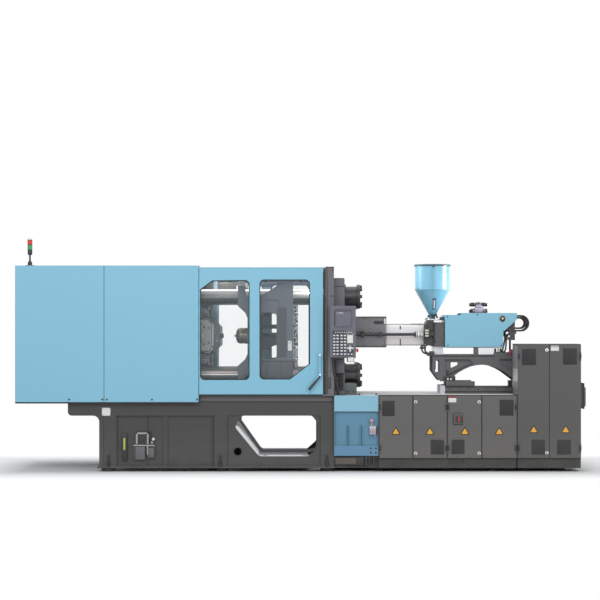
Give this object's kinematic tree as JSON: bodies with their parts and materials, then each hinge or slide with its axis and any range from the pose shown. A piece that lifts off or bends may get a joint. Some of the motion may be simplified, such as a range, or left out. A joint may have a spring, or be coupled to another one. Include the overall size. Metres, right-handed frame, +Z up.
{
  "type": "injection moulding machine",
  "caption": "Horizontal plastic injection moulding machine: toggle clamp with sliding guard doors, hopper-fed injection unit on a carriage, and cabinet base.",
  "frame": {"origin": "centre of the machine's footprint, on the floor", "axes": "+X along the machine from the clamp unit to the injection unit, -Y towards the operator, +Z up"},
  "size_m": [5.71, 1.6798, 2.348],
  "materials": {
    "cover_blue": "satin paint",
    "bed_grey": "satin paint",
    "cabinet_grey": "fine textured paint",
    "guard_grey": "satin paint",
    "platen_grey": "painted casting with machined faces",
    "box_blue": "satin paint",
    "chrome_rod": "ground and chromed",
    "dark_steel": "oiled dark steel",
    "bright_steel": "brushed",
    "galvanised": "galvanised",
    "pad_rubber": "matt",
    "black_steel": "blackened",
    "unit_metal": "cast and machined",
    "pump_blue": "satin paint",
    "pane_clear": "clear polycarbonate",
    "lamp_plastic": "lamp housings in green, red and clear",
    "panel_plastic": "fine textured plastic",
    "stop_red": "gloss",
    "switch_red": "gloss",
    "latch_chrome": "bright zinc",
    "carriage_grey": "painted casting",
    "rail_steel": "ground ways",
    "hose_black": "matt",
    "valve_grey": "machined"
  },
  "bodies": {
    "root": {"clamp_bed": "bed_grey", "levelling_pads": "pad_rubber", "drop_chute": "galvanised", "tie_bars": "chrome_rod", "tie_bar_nuts": "dark_steel", "fixed_platen": "platen_grey", "rear_platen": "platen_grey", "clamp_cylinder": "platen_grey", "rear_cover": "cover_blue", "mid_cover": "cover_blue", "cover_screws": "black_steel", "signal_beacon": "lamp_plastic", "guard_frame": "guard_grey", "lubrication_unit": "unit_metal", "injection_bed": "cabinet_grey", "water_box": "box_blue", "hydraulic_pump": "pump_blue", "oil_cooler": "pump_blue", "tall_cabinet": "cabinet_grey", "carriage_rails": "rail_steel"},
    "moving_platen": {"moving_platen": "platen_grey"},
    "ejector": {"ejector_rod": "bright_steel"},
    "crosshead": {"crosshead": "platen_grey"},
    "upper_rear_link": {"upper_rear_link": "platen_grey"},
    "upper_front_link": {"upper_front_link": "platen_grey"},
    "upper_cross_link": {"upper_cross_link": "platen_grey"},
    "lower_rear_link": {"lower_rear_link": "platen_grey"},
    "lower_front_link": {"lower_front_link": "platen_grey"},
    "lower_cross_link": {"lower_cross_link": "platen_grey"},
    "front_door": {"front_door": "cover_blue", "front_door_panes": "pane_clear"},
    "rear_door": {"rear_door": "cover_blue", "rear_door_panes": "pane_clear"},
    "cabinet_door_1": {"cabinet_door_1": "cabinet_grey"},
    "cabinet_door_2": {"cabinet_door_2": "cabinet_grey"},
    "cabinet_door_3": {"cabinet_door_3": "cabinet_grey"},
    "cabinet_door_4": {"cabinet_door_4": "cabinet_grey"},
    "cabinet_door_5": {"cabinet_door_5": "cabinet_grey"},
    "cabinet_door_6": {"cabinet_door_6": "cabinet_grey"},
    "latch_1": {"latch_1": "latch_chrome"},
    "latch_2": {"latch_2": "latch_chrome"},
    "latch_3": {"latch_3": "latch_chrome"},
    "latch_4": {"latch_4": "latch_chrome"},
    "latch_5": {"latch_5": "latch_chrome"},
    "latch_6": {"latch_6": "latch_chrome"},
    "main_switch": {"main_switch": "switch_red"},
    "control_panel": {"control_panel": "panel_plastic"},
    "emergency_stop": {"emergency_stop": "stop_red"},
    "carriage": {"carriage_frame": "carriage_grey", "feed_housing": "carriage_grey", "barrel": "dark_steel", "barrel_cover": "bright_steel", "injection_cover": "cover_blue", "valve_blocks": "valve_grey", "hoses": "hose_black", "hopper": "cover_blue"},
    "hopper_lid": {"hopper_lid": "cover_blue"},
    "nozzle_guard": {"nozzle_guard": "guard_grey"},
    "injection_drive": {"injection_drive": "carriage_grey"},
    "screw": {"screw": "bright_steel"}
  },
  "joints": [
    {"name": "platen_slide", "type": "slide", "parent": "root", "child": "moving_platen", "axis": [1, 0, 0], "range_m": [-0.42, 0]},
    {"name": "ejector_slide", "type": "slide", "parent": "moving_platen", "child": "ejector", "axis": [1, 0, 0], "range_m": [0, 0.09]},
    {"name": "crosshead_slide", "type": "slide", "parent": "root", "child": "crosshead", "axis": [1, 0, 0], "range_m": [-0.302, 0]},
    {"name": "upper_rear_pivot", "type": "hinge", "parent": "root", "child": "upper_rear_link", "pos_m": [-1.64, 0, 1.73], "axis": [0, 1, 0], "range_deg": [0, 109.6]},
    {"name": "upper_knee", "type": "hinge", "parent": "upper_rear_link", "child": "upper_front_link", "pos_m": [-1.36, 0, 1.73], "axis": [0, -1, 0], "range_deg": [0, 129.7]},
    {"name": "upper_crosshead_pivot", "type": "hinge", "parent": "crosshead", "child": "upper_cross_link", "pos_m": [-0.96, 0, 1.48], "axis": [0, -1, 0], "range_deg": [0, 33.8]},
    {"name": "lower_rear_pivot", "type": "hinge", "parent": "root", "child": "lower_rear_link", "pos_m": [-1.64, 0, 0.99], "axis": [0, -1, 0], "range_deg": [0, 109.6]},
    {"name": "lower_knee", "type": "hinge", "parent": "lower_rear_link", "child": "lower_front_link", "pos_m": [-1.36, 0, 0.99], "axis": [0, 1, 0], "range_deg": [0, 129.7]},
    {"name": "lower_crosshead_pivot", "type": "hinge", "parent": "crosshead", "child": "lower_cross_link", "pos_m": [-0.96, 0, 1.24], "axis": [0, 1, 0], "range_deg": [0, 33.8]},
    {"name": "front_door_slide", "type": "slide", "parent": "root", "child": "front_door", "axis": [1, 0, 0], "range_m": [-1.04, 0]},
    {"name": "rear_door_slide", "type": "slide", "parent": "root", "child": "rear_door", "axis": [1, 0, 0], "range_m": [-1.04, 0]},
    {"name": "cabinet_door_1_hinge", "type": "hinge", "parent": "root", "child": "cabinet_door_1", "pos_m": [0.7935, -0.708, 0.4], "axis": [0, 0, 1], "range_deg": [-110, 0]},
    {"name": "cabinet_door_2_hinge", "type": "hinge", "parent": "root", "child": "cabinet_door_2", "pos_m": [1.4615, -0.708, 0.4], "axis": [0, 0, 1], "range_deg": [0, 110]},
    {"name": "cabinet_door_3_hinge", "type": "hinge", "parent": "root", "child": "cabinet_door_3", "pos_m": [1.4785, -0.708, 0.4], "axis": [0, 0, 1], "range_deg": [-110, 0]},
    {"name": "cabinet_door_4_hinge", "type": "hinge", "parent": "root", "child": "cabinet_door_4", "pos_m": [2.1565, -0.708, 0.4], "axis": [0, 0, 1], "range_deg": [0, 110]},
    {"name": "cabinet_door_5_hinge", "type": "hinge", "parent": "root", "child": "cabinet_door_5", "pos_m": [2.1835, -0.708, 0.4], "axis": [0, 0, 1], "range_deg": [-110, 0]},
    {"name": "cabinet_door_6_hinge", "type": "hinge", "parent": "root", "child": "cabinet_door_6", "pos_m": [2.8015, -0.708, 0.4], "axis": [0, 0, 1], "range_deg": [0, 110]},
    {"name": "latch_1_turn", "type": "hinge", "parent": "cabinet_door_2", "child": "latch_1", "pos_m": [1.152, -0.7, 0.185], "axis": [0, 1, 0], "range_deg": [-90, 0]},
    {"name": "latch_2_turn", "type": "hinge", "parent": "cabinet_door_2", "child": "latch_2", "pos_m": [1.152, -0.7, 0.7], "axis": [0, 1, 0], "range_deg": [-90, 0]},
    {"name": "latch_3_turn", "type": "hinge", "parent": "cabinet_door_3", "child": "latch_3", "pos_m": [1.788, -0.7, 0.185], "axis": [0, 1, 0], "range_deg": [0, 90]},
    {"name": "latch_4_turn", "type": "hinge", "parent": "cabinet_door_3", "child": "latch_4", "pos_m": [1.788, -0.7, 0.7], "axis": [0, 1, 0], "range_deg": [0, 90]},
    {"name": "latch_5_turn", "type": "hinge", "parent": "cabinet_door_5", "child": "latch_5", "pos_m": [2.4655, -0.7, 0.19], "axis": [0, 1, 0], "range_deg": [0, 90]},
    {"name": "latch_6_turn", "type": "hinge", "parent": "cabinet_door_5", "child": "latch_6", "pos_m": [2.4655, -0.7, 1.22], "axis": [0, 1, 0], "range_deg": [0, 90]},
    {"name": "main_switch_turn", "type": "hinge", "parent": "cabinet_door_3", "child": "main_switch", "pos_m": [1.585, -0.7, 0.53], "axis": [0, 1, 0], "range_deg": [0, 90]},
    {"name": "panel_swivel", "type": "hinge", "parent": "root", "child": "control_panel", "pos_m": [0.33, -0.747, 1.4], "axis": [0, 0, 1], "range_deg": [-60, 0]},
    {"name": "emergency_stop_press", "type": "slide", "parent": "control_panel", "child": "emergency_stop", "axis": [-1, 0, 0], "range_m": [0, 0.004], "stiffness_N_per_m": 400},
    {"name": "carriage_slide", "type": "slide", "parent": "root", "child": "carriage", "axis": [1, 0, 0], "range_m": [0, 0.3]},
    {"name": "hopper_lid_hinge", "type": "hinge", "parent": "carriage", "child": "hopper_lid", "pos_m": [1.37, 0.202, 2.097], "axis": [-1, 0, 0], "range_deg": [0, 100]},
    {"name": "nozzle_guard_slide", "type": "slide", "parent": "root", "child": "nozzle_guard", "axis": [1, 0, 0], "range_m": [0, 0.28]},
    {"name": "injection_stroke", "type": "slide", "parent": "carriage", "child": "injection_drive", "axis": [1, 0, 0], "range_m": [0, 0.18]},
    {"name": "screw_turn", "type": "hinge", "parent": "injection_drive", "child": "screw", "pos_m": [1, 0, 1.36], "axis": [1, 0, 0], "continuous": true}
  ],
  "couplings": [
    {"joint": "crosshead_slide", "follows": "platen_slide", "ratio": 0.7186},
    {"joint": "upper_rear_pivot", "follows": "platen_slide", "rad_per_m": -4.5491},
    {"joint": "upper_knee", "follows": "platen_slide", "rad_per_m": -5.3823},
    {"joint": "upper_crosshead_pivot", "follows": "platen_slide", "rad_per_m": -1.4004},
    {"joint": "lower_rear_pivot", "follows": "platen_slide", "rad_per_m": -4.5491},
    {"joint": "lower_knee", "follows": "platen_slide", "rad_per_m": -5.3823},
    {"joint": "lower_crosshead_pivot", "follows": "platen_slide", "rad_per_m": -1.4004}
  ]
}
